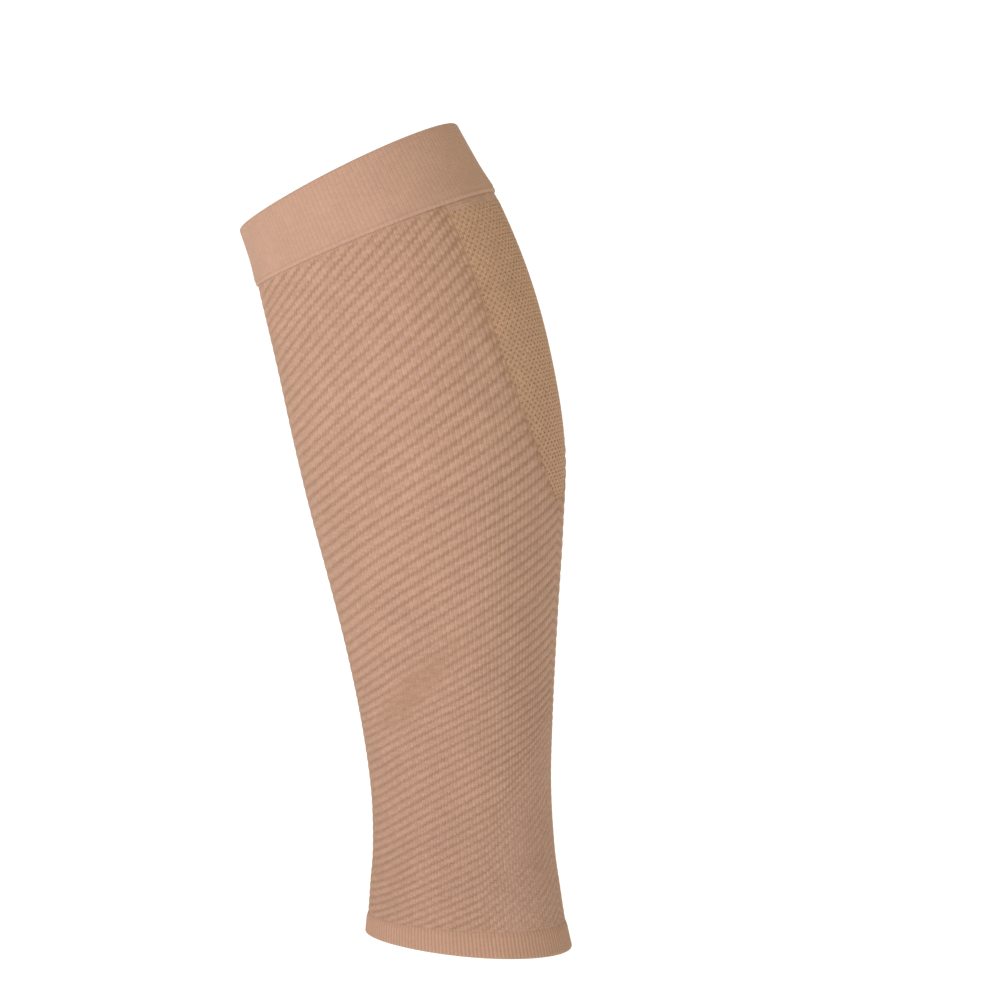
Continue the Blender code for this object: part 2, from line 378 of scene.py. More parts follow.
def knitFields(shares, angles):
    # What the relief reads, on a grid of rows by columns; wales count from the shin on both sides
    fine = np.linspace(0, 1, sleeve["heightPoints"])
    tall = np.interp(fine, ribTable["share"], ribTable["tall"]) / millimetres
    rows = np.r_[0, np.cumsum(np.diff(fine) * sleeve["height"] * 2 / (tall[1:] + tall[:-1]))]
    share = perRow(shares, angles)
    height = share * sleeve["height"]
    wale = (np.arange(angles.shape[1]) + 0.5) / sleeve["perWale"]
    wale = np.minimum(wale, sleeve["wales"] - wale)[None, :] + 0 * angles
    inPanel = panelDepth(share, angles)
    patchUp = height - patch["share"] * sleeve["height"] - patch["rise"] * (wale - patch["wale"])
    fromPatch = np.hypot(patchUp / patch["halfHeight"], (wale - patch["wale"]) / patch["halfWales"])
    cordEdge = heelCord["startWale"] + heelCord["lean"] * (share / heelCord["topShare"]) ** 3
    underCuff = sleeve["cuffSeam"] - height
    outsidePatch = smoothStep(patch["from"], patch["to"], fromPatch)
    overCord = smoothStep(0, heelCord["edgeWales"], wale - cordEdge)
    panelEdge = smoothStep(panel["edgeFrom"], panel["edgeTo"], inPanel)
    strip = panelEdge * smoothStep(-panel["stripBlur"], panel["stripBlur"], panel["plainStrip"] - underCuff)
    # Painted shade on the ribs beside the panel, where their fading grooves no longer shade them
    darkened = smoothStep(panel["besideFrom"], panel["besideTo"], inPanel)
    beside = darkened * (1 - smoothStep(panel["besideTo"], panel["besideEnd"], inPanel))
    onPatch = patch["left"] + (1 - patch["left"]) * outsidePatch
    onShin = ribs["shinLeft"] + (1 - ribs["shinLeft"]) * smoothStep(ribs["shinFrom"], ribs["shinTo"], wale)
    atCuff = smoothStep(ribs["endFrom"], ribs["endTo"], underCuff)
    ends = atCuff * smoothStep(0.0, ribs["hemTo"], height - sleeve["hemSeam"])
    # Tone lifts. The strip's lift is partly painted light against the cuff's shadow, and the ribs beside the
    # panel get painted shade
    toneLift = heelCord["tone"] * overCord + panel["stripTone"] * strip - patch["tone"] * (1 - outsidePatch)
    toneLift = toneLift + ribs["endTone"] * (1 - ends) - panel["edgePaintedShade"] * beside
    return {
        "wale": wale,
        "ribRow": np.interp(share, fine, rows),
        "ribSpread": 1 / np.interp(share, ribTable["share"], ribTable["across"]),
        "ribFade": onPatch * (1 - panelEdge) * (1 - heelCord["calm"] * overCord) * onShin * ends,
        "waleFade": ends,
        "cordEdge": cordEdge,
        "sink": panelEdge,
        "openShare": smoothStep(panel["hueFrom"], panel["hueTo"], inPanel) * (1 - strip),
        "toneLift": toneLift,
    }


def reliefTree():
    # Raises the slanting ribs and the wales along the cloth's normal
    tree, given = newTree("knitRelief", [
        "Rib Height", "Bead Cut", "Knob", "Stair", "Wale Height", "Middle Wale", "Shin Wale", "Shin Spread",
        "Cord Across", "Panel Sink", "Wale Shade", "Plain Tone"])
    field = readFields(tree, ["wale", "ribRow", "ribSpread", "ribFade", "waleFade", "cordEdge", "sink",
                              "toneLift"])

    # Each wale takes the rib's height from its own middle, so the rib climbs in steps
    whole = addMath(tree, "FLOOR", field["wale"])
    middle = addMath(tree, "ADD", whole, 0.5)
    toMiddle = addMath(tree, "SUBTRACT", middle, field["wale"])
    stepped = addMath(tree, "MULTIPLY_ADD", toMiddle, given["Stair"], field["wale"])

    # The ribs climb towards the back: not yet at the shin, and faster past the heel cord's edge
    levelled = addMath(tree, "SMOOTH_MAX", stepped, given["Shin Wale"], given["Shin Spread"])
    fromMiddle = addMath(tree, "SUBTRACT", levelled, given["Middle Wale"])
    climbed = addMath(tree, "MULTIPLY", fromMiddle, field["ribSpread"])
    pastEdge = addMath(tree, "SUBTRACT", stepped, field["cordEdge"])
    overCord = addMath(tree, "SMOOTH_MAX", pastEdge, 0.0, heelCord["bend"])
    cordSpread = addMath(tree, "DIVIDE", 1.0, given["Cord Across"])
    steeper = addMath(tree, "SUBTRACT", cordSpread, field["ribSpread"])
    allClimbed = addMath(tree, "MULTIPLY_ADD", overCord, steeper, climbed)
    phase = addMath(tree, "SUBTRACT", field["ribRow"], allClimbed)
    inRib = addMath(tree, "FRACT", phase)
    rib = addNode(tree, "ShaderNodeFloatCurve", {"Value": inRib})
    curve = rib.node.mapping.curves[0]
    for x, y in ribs["profile"][1:-1]:
        curve.points.new(x, y)
    curve.points[0].location = ribs["profile"][0]
    curve.points[-1].location = ribs["profile"][-1]
    rib.node.mapping.update()

    # The round back of each wale, which notches the rib into beads
    inWale = addMath(tree, "FRACT", field["wale"])
    halfTurn = addMath(tree, "MULTIPLY", inWale, pi)
    waleBack = addMath(tree, "SINE", halfTurn)
    notch = addMath(tree, "SUBTRACT", 1.0, waleBack)
    notchDeep = addMath(tree, "MULTIPLY", notch, given["Bead Cut"])
    kept = addMath(tree, "SUBTRACT", 1.0, notchDeep)
    ribBead = addMath(tree, "MULTIPLY", rib, kept)

    # In the groove each wale's back stands up as a small knob
    groove = addMath(tree, "SUBTRACT", 1.0, rib)
    knob = addMath(tree, "MULTIPLY", groove, waleBack)
    bead = addMath(tree, "MULTIPLY_ADD", knob, given["Knob"], ribBead)
    lowered = addMath(tree, "SUBTRACT", bead, ribs["mean"])
    ribLift = addMath(tree, "MULTIPLY", lowered, given["Rib Height"])
    ribOnly = addMath(tree, "MULTIPLY", ribLift, field["ribFade"])
    waleLift = addMath(tree, "MULTIPLY", waleBack, given["Wale Height"])
    raised = addMath(tree, "MULTIPLY_ADD", waleLift, field["waleFade"], ribOnly)
    drop = addMath(tree, "MULTIPLY", field["sink"], given["Panel Sink"])
    lift = addMath(tree, "SUBTRACT", raised, drop)

    # What the yarn's colour reads: 0 in a groove, 1 on a crest. The darker groove is partly the elastane
    # inlay and partly painted shade in the groove
    crest = addMath(tree, "SUBTRACT", bead, given["Plain Tone"])
    ribTone = addMath(tree, "MULTIPLY_ADD", crest, field["ribFade"], given["Plain Tone"])
    # Painted shade between the wales: lighter on their round backs, darker where two wales meet
    waleTone = addMath(tree, "SUBTRACT", waleBack, ribs["waleMean"])
    waleFaded = addMath(tree, "MULTIPLY", waleTone, field["waleFade"])
    knitTone = addMath(tree, "MULTIPLY_ADD", waleFaded, given["Wale Shade"], ribTone)
    relief = addMath(tree, "ADD", knitTone, field["toneLift"])
    normal = addNode(tree, "GeometryNodeInputNormal", {})
    offset = addNode(tree, "ShaderNodeVectorMath", {0: normal, "Scale": lift}, operation="SCALE")
    named = addNode(tree, "GeometryNodeStoreNamedAttribute",
                    {"Geometry": given["Cloth"], "Name": "relief", "Value": relief}, data_type="FLOAT")
    moved = addNode(tree, "GeometryNodeSetPosition", {"Geometry": named, "Offset": offset})
    return endTree(tree, moved, given["Yarn"])


def openKnitTree():
    # Raises the yarn between the holes, sinks the holes, paints shade on their floors and gives the cloth its
    # thickness
    tree, given = newTree("openKnit", ["Bar Height", "Wall", "Hole Reach", "Hole Depth", "Hole Painted Shade"])
    field = readFields(tree, ["holeUp", "holeAcross", "holeOpen"])
    place = addNode(tree, "ShaderNodeCombineXYZ", {"X": field["holeAcross"], "Y": field["holeUp"]})
    away = addNode(tree, "ShaderNodeVectorMath", {0: place}, output=1, operation="LENGTH")
    bar = addRange(tree, away, (panel["barFrom"], panel["barTo"]), (-panel["barSwing"], panel["barSwing"]),
                   "SMOOTHSTEP")
    barOpen = addMath(tree, "MULTIPLY", bar, field["holeOpen"])
    lift = addMath(tree, "MULTIPLY", barOpen, given["Bar Height"])
    normal = addNode(tree, "GeometryNodeInputNormal", {})
    offset = addNode(tree, "ShaderNodeVectorMath", {0: normal, "Scale": lift}, operation="SCALE")
    moved = addNode(tree, "GeometryNodeSetPosition", {"Geometry": given["Cloth"], "Offset": offset})
    kept = addNode(tree, "GeometryNodeStoreNamedAttribute",
                   {"Geometry": moved, "Name": "flatNormal", "Value": normal}, data_type="FLOAT_VECTOR")
    nearUp = addMath(tree, "LESS_THAN", field["holeUp"], given["Hole Reach"])
    nearAcross = addMath(tree, "LESS_THAN", field["holeAcross"], given["Hole Reach"])
    inHole = addMath(tree, "MULTIPLY", nearUp, nearAcross)
    whole = addMath(tree, "MULTIPLY", inHole, field["holeOpen"])
    sunk = addMath(tree, "GREATER_THAN", whole, 0.5)
    downward = addMath(tree, "MULTIPLY", given["Hole Depth"], -1.0)
    holes = addNode(tree, "GeometryNodeExtrudeMesh",
                    {"Mesh": kept, "Selection": sunk, "Offset Scale": downward, "Individual": False}).node
    # Painted shade: the floors of the sunk holes take a darker tone
    front = addNode(tree, "GeometryNodeStoreNamedAttribute",
                    {"Geometry": holes.outputs["Mesh"], "Selection": holes.outputs["Top"], "Name": "relief",
                     "Value": given["Hole Painted Shade"]}, data_type="FLOAT", domain="POINT")
    inward = addMath(tree, "MULTIPLY", given["Wall"], -1.0)
    thick = addNode(tree, "GeometryNodeExtrudeMesh",
                    {"Mesh": kept, "Offset Scale": inward, "Individual": False}).node
    flipped = addNode(tree, "GeometryNodeFlipFaces", {"Mesh": thick.outputs["Mesh"]})
    lining = addNode(tree, "GeometryNodeStoreNamedAttribute",
                     {"Geometry": flipped, "Selection": thick.outputs["Top"], "Name": "inside", "Value": 1.0},
                     data_type="FLOAT", domain="POINT")
    both = addNode(tree, "GeometryNodeJoinGeometry", {"Geometry": [lining, front]})
    closed = addNode(tree, "GeometryNodeMergeByDistance", {"Geometry": both, "Distance": panel["weld"]})
    return endTree(tree, closed, given["Yarn"])


def raiseShell(points, fields, courses, rows, tree, values):
    # Runs the relief tree on a ring of grid points and keeps the result as arrays
    count, around = points.shape[:2]
    quads = gridQuads(count, around)
    mesh = meshFromArrays("shell", points.reshape(-1, 3), quads.ravel(), np.full(quads.size // 4, 4))
    for name, field in fields.items():
        storeOnPoints(mesh, name, field)
    made = applyTree(mesh, tree, values)
    shell = {
        "rows": rows,
        "points": readVector(made.vertices, "co").reshape(-1, around, 3),
        "normals": readVector(made.vertex_normals, "vector").reshape(-1, around, 3),
        "relief": readFloat(made, "relief").reshape(-1, around),
        "openShare": fields["openShare"],
        "courses": courses,
    }
    bpy.data.meshes.remove(made)
    return shell


def roundHoles(shares, angles, first, mask):
    # Marks each grid point's place from the nearest hole and draws in the corners of its four cells, to round
    # it. A hole is made where all its cells lie in the mask's blocks.
    rows, period = panel["blockRows"], panel["holeColumns"]
    r = np.arange(len(shares))[:, None]
    c = np.arange(angles.shape[1])[None, :]
    block = r // rows
    up = r - (rows * block + rows // 2) + 0 * c
    across = (c - (block + first) % 2 * (period // 2)) % period - period // 2
    centreRow = np.clip(r - up, 0, len(shares) - 1)
    centreColumn = (c - across) % angles.shape[1]
    share = perRow(shares, angles)
    underCuff = sleeve["cuffSeam"] - share * sleeve["height"]
    cells = np.repeat(np.repeat(mask, rows, 0), sleeve["perWale"], 1)
    below = np.clip(centreRow - 1, 0, len(cells) - 1)
    above = np.clip(centreRow, 0, len(cells) - 1)
    isOpen = (underCuff > panel["plainStrip"])[centreRow, centreColumn]
    for cellRow in (below, above):
        isOpen &= cells[cellRow, centreColumn - 1] & cells[cellRow, centreColumn]
    pull = np.where(isOpen & (np.abs(up) == 1) & (np.abs(across) == 1), panel["cornerPull"], 0.0)
    angleStep = np.roll(angles, -1, axis=1) - angles
    angleStep[:, -1] = angleStep[:, 0]
    rounded = share - pull * up * (shares[1] - shares[0])
    marks = {"holeUp": np.abs(up), "holeAcross": np.abs(across), "holeOpen": isOpen}
    return rounded, angles - pull * across * angleStep, marks


def cutPiece(name, shell, inner, mask, material):
    # A closed piece of cloth over the mask's blocks: fine outside, coarse inside, and a rim along its border
    rows = shell["rows"]
    blockRows, blockColumns = mask.shape
    around = shell["points"].shape[1]
    columns = around // blockColumns
    outside = shell["points"].shape[0] * around

    def outer(r, c):
        return r * (around + 1) + c

    def inside(r, c):
        return -1 - (r * (blockColumns + 1) + c)

    r, c = np.nonzero(np.repeat(np.repeat(mask, rows, 0), columns, 1))
    faces = [np.stack([outer(r, c), outer(r, c + 1), outer(r + 1, c + 1), outer(r + 1, c)], -1)]
    r, c = np.nonzero(mask)
    faces.append(np.stack([inside(r, c), inside(r + 1, c), inside(r + 1, c + 1), inside(r, c + 1)], -1))
    beyond = np.pad(mask, ((1, 1), (0, 0)))
    r, c = np.nonzero(mask & ~beyond[:-2])
    edge = [outer(r * rows, c * columns + k) for k in range(columns, -1, -1)]
    faces.append(np.stack(edge + [inside(r, c), inside(r, c + 1)], -1))
    r, c = np.nonzero(mask & ~beyond[2:])
    edge = [outer((r + 1) * rows, c * columns + k) for k in range(columns + 1)]
    faces.append(np.stack(edge + [inside(r + 1, c + 1), inside(r + 1, c)], -1))
    r, c = np.nonzero(mask & ~np.roll(mask, 1, axis=1))
    edge = [outer(r * rows + k, c * columns) for k in range(rows + 1)]
    faces.append(np.stack(edge + [inside(r + 1, c), inside(r, c)], -1))
    r, c = np.nonzero(mask & ~np.roll(mask, -1, axis=1))
    edge = [outer(r * rows + k, (c + 1) * columns) for k in range(rows, -1, -1)]
    faces.append(np.stack(edge + [inside(r, c + 1), inside(r + 1, c + 1)], -1))

    corners = np.concatenate([f.ravel() for f in faces])
    sizes = np.concatenate([np.full(len(f), f.shape[1]) for f in faces])
    isInner = corners < 0
    row = np.where(isInner, (-1 - corners) // (blockColumns + 1), corners // (around + 1))
    column = np.where(isInner, (-1 - corners) % (blockColumns + 1), corners % (around + 1))
    innerKey = outside + row * blockColumns + column % blockColumns
    key = np.where(isInner, innerKey, row * around + column % around)
    used, index = np.unique(key, return_inverse=True)
    inward = inner.mean(axis=1, keepdims=True) - inner
    inward /= np.linalg.norm(inward, axis=-1, keepdims=True)
    points = np.vstack([shell["points"].reshape(-1, 3), inner.reshape(-1, 3)])
    normals = np.vstack([shell["normals"].reshape(-1, 3), inward.reshape(-1, 3)])
    mesh = meshFromArrays(name, points[used], index.ravel(), sizes)
    insidePoints = inner.shape[0] * blockColumns
    insideTone = np.full(insidePoints, ribs["insideTone"])
    storeOnPoints(mesh, "relief", np.r_[shell["relief"].ravel(), insideTone][used])
    storeOnPoints(mesh, "openShare", np.r_[shell["openShare"].ravel(), np.zeros(insidePoints)][used])
    course = shell["courses"][np.where(isInner, row * rows, row), np.where(isInner, 0, column % around)]
    storeUv(mesh, np.where(isInner, column, column / columns), course)
    mesh.normals_split_custom_set_from_vertices(normals[used])
    mesh.materials.append(material)
    return addPiece(name, mesh)


def openPanel(name, shell, holes, mask, tree, values):
    # The open-knit panel: the shell's cells inside the mask, given their holes and thickness by the tree
    rows, columns = shell["rows"], sleeve["perWale"]
    around = shell["points"].shape[1]
    fine = np.repeat(np.repeat(mask, rows, 0), columns, 1)
    quads = gridQuads(len(fine) + 1, around)[fine]
    cells = np.pad(fine.astype(int), ((1, 1), (0, 0)))
    near = cells[:-1] + cells[1:]
    near = near + np.roll(near, 1, axis=1)
    used, index = np.unique(quads, return_inverse=True)
    mesh = meshFromArrays(name, shell["points"].reshape(-1, 3)[used], index.ravel(), np.full(len(quads), 4))
    storeOnPoints(mesh, "relief", shell["relief"].ravel()[used])
    storeOnPoints(mesh, "openShare", shell["openShare"].ravel()[used])
    storeOnPoints(mesh, "border", (near < 4).ravel()[used])
    for field, marks in holes.items():
        storeOnPoints(mesh, field, marks.ravel()[used])
    corner = quads.ravel()
    storeUv(mesh, corner % around / columns, shell["courses"].ravel()[corner])
    made = applyTree(mesh, tree, values)
    normals = readVector(made.vertex_normals, "vector")
    flat = readVector(made.attributes["flatNormal"].data, "vector")
    inside = readFloat(made, "inside") > 0.5
    border = readFloat(made, "border") > 0.5
    normals[border] = flat[border]
    normals[border & inside] *= -1
    made.shade_smooth()
    made.normals_split_custom_set_from_vertices(normals)
    return addPiece(name, made)


def addPiece(name, mesh):
    mesh.name = name
    piece = bpy.data.objects.new(name, mesh)
    bpy.context.scene.collection.objects.link(piece)
    mesh.calc_loop_triangles()
    print(name, len(mesh.loop_triangles), "triangles")
    return piece


# What all the yarns share
allYarn = {
    "legSlant": 1.3,         # courses that a stitch's leg climbs in a wale's width
    "loopShare": 0.35,       # how much of a leg's height comes and goes with its loops
    "stitchDepth": 0.0002,
    "ankleFrom": -0.20,      # heights between which the cloth grows darker downwards
    "ankleTo": 0.02,
    "roughSwing": 0.06,
    "refraction": 1.5,
    "gloss": 0.25,
    "sheenRough": 0.45,
}
# Wide cloudy patches and the fibres' fine grain: the noise, the part of it that is used and the tone it gives
cloud = {"scale": 60.0, "detail": 3.0, "noise": (0.3, 0.7), "tone": (0.965, 1.03)}
fibre = {"scale": 1400.0, "detail": 2.0, "noise": (0.25, 0.75), "tone": (0.94, 1.05)}


def addNoise(tree, place, spots):
    return addNode(tree, "ShaderNodeTexNoise", {"Vector": place, "Scale": spots["scale"],
                                                "Detail": spots["detail"]})


def mixColours(tree, share, first, second):
    return addNode(tree, "ShaderNodeMix", {0: share, 6: first, 7: second}, output=2, data_type="RGBA")


def knitMaterial(name, look):
    # Polyamide yarn and covered elastane, knitted fine: a matt cloth, a little brighter at grazing angles.
    # The stitches are under a millimetre, so bump and tone draw them from the cloth's own wale and course.
    material = bpy.data.materials.new(name)
    material.use_nodes = True
    tree = material.node_tree
    tree.nodes.clear()
    uv = addNode(tree, "ShaderNodeUVMap", {}, uv_map="knitUv")
    parts = addNode(tree, "ShaderNodeSeparateXYZ", {"Vector": uv}).node.outputs
    inWale = addMath(tree, "FRACT", parts["X"])
    centred = addMath(tree, "SUBTRACT", inWale, 0.5)
    fromMiddle = addMath(tree, "ABSOLUTE", centred)
    course = addMath(tree, "DIVIDE", parts["Y"], look["courseMm"])
    slanted = addMath(tree, "MULTIPLY_ADD", fromMiddle, allYarn["legSlant"], course)
    turn = addMath(tree, "MULTIPLY", slanted, 2 * pi)
    loops = addMath(tree, "SINE", turn)
    leg = addMath(tree, "MULTIPLY", fromMiddle, 2 * pi)
    legBack = addMath(tree, "SINE", leg)
    loopLift = addMath(tree, "MULTIPLY_ADD", loops, allYarn["loopShare"], 1 - allYarn["loopShare"])
    stitch = addMath(tree, "MULTIPLY", legBack, loopLift)

    place = addNode(tree, "ShaderNodeTexCoord", {}, output=3)
    cloudNoise = addNoise(tree, place, cloud)
    fibreNoise = addNoise(tree, place, fibre)
    relief = addNode(tree, "ShaderNodeAttribute", {}, output=2, attribute_name="relief")
    # Grooves darker, partly for the elastane inlay and partly as painted shade
    lit = addRange(tree, relief, (look["grooveFrom"], look["crestFrom"]), (0, 1), "SMOOTHSTEP")
    closed = mixColours(tree, lit, hexColour(look["groove"]), hexColour(look["crest"]))
    opened = mixColours(tree, lit, hexColour(look["openGroove"]), hexColour(look["openCrest"]))
    share = addNode(tree, "ShaderNodeAttribute", {}, output=2, attribute_name="openShare")
    colour = mixColours(tree, share, closed, opened)
    tint = addRange(tree, cloudNoise, cloud["noise"], cloud["tone"])
    grain = addRange(tree, fibreNoise, fibre["noise"], fibre["tone"])
    height = addNode(tree, "ShaderNodeSeparateXYZ", {"Vector": place}, output=2)
    # Darker towards the ankle
    towardsAnkle = addRange(tree, height, (allYarn["ankleFrom"], allYarn["ankleTo"]), (look["ankleTone"], 1))
    mottled = addMath(tree, "MULTIPLY", tint, grain)
    shade = addMath(tree, "MULTIPLY", mottled, towardsAnkle)
    stitchShade = addMath(tree, "MULTIPLY_ADD", stitch, look["stitchShade"], 1 - look["stitchShade"] / 2)
    # No two stitches catch the light alike
    waleNumber = addMath(tree, "FLOOR", parts["X"])
    courseNumber = addMath(tree, "FLOOR", course)
    stitchPlace = addNode(tree, "ShaderNodeCombineXYZ", {"X": waleNumber, "Y": courseNumber})
    chance = addNode(tree, "ShaderNodeTexWhiteNoise", {"Vector": stitchPlace}, noise_dimensions="3D")
    uneven = addRange(tree, chance, (0, 1), (1 - look["uneven"], 1 + look["uneven"]))
    stitchTone = addMath(tree, "MULTIPLY", stitchShade, uneven)
    allShade = addMath(tree, "MULTIPLY", shade, stitchTone)
    shaded = addNode(tree, "ShaderNodeVectorMath", {0: colour, "Scale": allShade}, operation="SCALE")
    bump = addNode(tree, "ShaderNodeBump", {"Strength": look["stitchBump"],
                                            "Distance": allYarn["stitchDepth"], "Height": stitch})
    rough = addRange(tree, fibreNoise, (0, 1), (look["rough"] - allYarn["roughSwing"],
                                                look["rough"] + allYarn["roughSwing"]))
    shader = addNode(tree, "ShaderNodeBsdfPrincipled",
                     {"Base Color": shaded, "Roughness": rough, "Normal": bump, "IOR": allYarn["refraction"],
                      "Specular IOR Level": allYarn["gloss"], "Sheen Weight": look["sheen"],
                      "Sheen Roughness": allYarn["sheenRough"], "Sheen Tint": hexColour(look["sheenTint"])})
    addNode(tree, "ShaderNodeOutputMaterial", {"Surface": shader})
    return material


# The groove colours are darker partly for the elastane inlay and partly as painted shade in the grooves
ribYarn = {
    "groove": "#a67e66",
    "crest": "#be9785",
    "openGroove": "#b68e71",
    "openCrest": "#c8a088",
    "grooveFrom": 0.0,       # relief at which the groove's colour starts to give way, and is gone
    "crestFrom": 0.85,
    "courseMm": 1.03,
    "ankleTone": 0.88,       # darker at the ankle
    "stitchShade": 0.22,
    "stitchBump": 0.5,
    "uneven": 0.08,
    "rough": 0.82,
    "sheen": 0.12,
    "sheenTint": "#e8cdbb",
}
openYarn = {**ribYarn, "crestFrom": 0.75, "stitchShade": 0.30}
cuffYarn = {**ribYarn, "crest": "#c69f8d", "groove": "#b8907e", "crestFrom": 0.8, "courseMm": 1.2,
            "stitchShade": 0.12, "uneven": 0.03}
hemYarn = {**cuffYarn, "crest": "#caa08c", "groove": "#b18974", "courseMm": 0.8}

ribKnit = knitMaterial("polyamideSlantedRibKnit", ribYarn)
openKnit = knitMaterial("polyamideOpenMeshKnit", openYarn)
cuffKnit = knitMaterial("polyamideDoubledWeltKnit", cuffYarn)
hemKnit = knitMaterial("polyamideFoldedHemKnit", hemYarn)

reliefNodes = reliefTree()
ribValues = {
    "Rib Height": ribs["height"],
    "Bead Cut": ribs["beadCut"],
    "Knob": ribs["knob"],
    "Stair": ribs["stair"],
    "Wale Height": ribs["waleHeight"],
    "Middle Wale": ribs["middleWale"],
    "Shin Wale": ribs["shinWale"],
    "Shin Spread": ribs["shinSpread"],
    "Cord Across": heelCord["across"],
    "Panel Sink": panel["sink"],
    "Wale Shade": ribs["waleShade"],
    "Plain Tone": ribs["plainTone"],
    "Yarn": ribKnit,
}

# Blocks whose middle lies in the open-knit panel
blockShares = blockHeights(0, sleeve["blocks"], 2)[1::2]
blockAngles = waleAngles(blockShares, 2)[:, 1::2]
inPanel = panelDepth(perRow(blockShares, blockAngles), blockAngles) > 0

shares = blockHeights(0, sleeve["blocks"], sleeve["perBlock"])
angles = waleAngles(shares, sleeve["perWale"])
courses = perRow(shares, angles) * sleeve["height"] * millimetres
ribShell = raiseShell(legPoints(perRow(shares, angles), angles, 0.0), knitFields(shares, angles),
                      courses, sleeve["perBlock"], reliefNodes, ribValues)
print("ribs raised")
shares = blockHeights(0, sleeve["blocks"], 1)
angles = waleAngles(shares, 1)
innerWall = legPoints(perRow(shares, angles), angles, -sleeve["wall"])

pieces = {}


# The ribbed tube in four lengths, so that each stays light: their block rows, from the hem up
ribPieces = {"ankleRibs": (0, 46), "shankRibs": (46, 92), "calfRibs": (92, 138), "upperRibs": (138, 194)}
for name, (first, last) in ribPieces.items():
    mask = ~inPanel
    mask[:first] = False
    mask[last:] = False
    pieces[name] = cutPiece(name, ribShell, innerWall, mask, ribKnit)

tipBlock = int(np.nonzero(inPanel.any(axis=1))[0][0])
shares = blockHeights(tipBlock, sleeve["blocks"], panel["blockRows"])
angles = waleAngles(shares, sleeve["perWale"])
roundShares, roundAngles, holes = roundHoles(shares, angles, tipBlock, inPanel[tipBlock:])
panelShell = raiseShell(legPoints(roundShares, roundAngles, 0.0), knitFields(shares, angles),
                        roundShares * sleeve["height"] * millimetres, panel["blockRows"], reliefNodes,
                        ribValues)
openValues = {
    "Bar Height": panel["barHeight"],
    "Wall": sleeve["wall"] * panel["wallShare"],
    "Hole Reach": panel["holeReach"],
    "Hole Depth": panel["holeDepth"],
    "Hole Painted Shade": panel["holePaintedShade"],
    "Yarn": openKnit,
}
pieces["calfMesh"] = openPanel("calfMesh", panelShell, holes, inPanel[tipBlock:], openKnitTree(), openValues)
print("open knit made")

# The doubled cuff and the folded hem
cuff = {
    "step": 0.0011,          # how far it stands out over the leg, and at its seam
    "edge": 0.0003,
    "edgeRise": 0.0022,      # height over which it swells from the one to the other
    "ribHeight": 0.00009,
    # painted shade between the wales of the fine ribs
    "ribShade": 0.35,
    "beadHeight": 0.00034,   # the raised line along its lower edge, and the groove over it
    "beadWidth": 0.0014,
    "groove": 0.00030,
    "grooveWidth": 0.0009,
    "trimPaintedLight": 800,         # painted light and shade for a metre of the line's height: the raised line lighter, the groove over it darker
    "straightRows": 54,      # the three numbers of rows add up to whole blocks
    "foldRows": 12,
    "insideRows": 3,
}
hem = {
    "step": 0.0005,
    "edge": 0.0001,
    "edgeRise": 0.0020,
    "ribHeight": 0.00018,
    "ribShade": 0.75,
    "trimPaintedLight": 0,
    "straightRows": 18,
    "foldRows": 9,
    "insideRows": 3,
}
fold = {
    "ribLeft": 0.2,          # what is left of the fine ribs inside
    "rowDrop": 0.0007,       # from one inside row to the next
    "liningGap": 0.0006,     # from the last of them to the coarse inner wall
}


def cuffTrim(height):
    # The raised line along the cuff's lower edge and the groove over it
    bead = cuff["beadHeight"] * sin(pi * min(height / cuff["beadWidth"], 1.0))
    over = (height - cuff["beadWidth"]) / cuff["grooveWidth"]
    return bead - (cuff["groove"] * sin(pi * over) if 0 < over < 1 else 0.0)


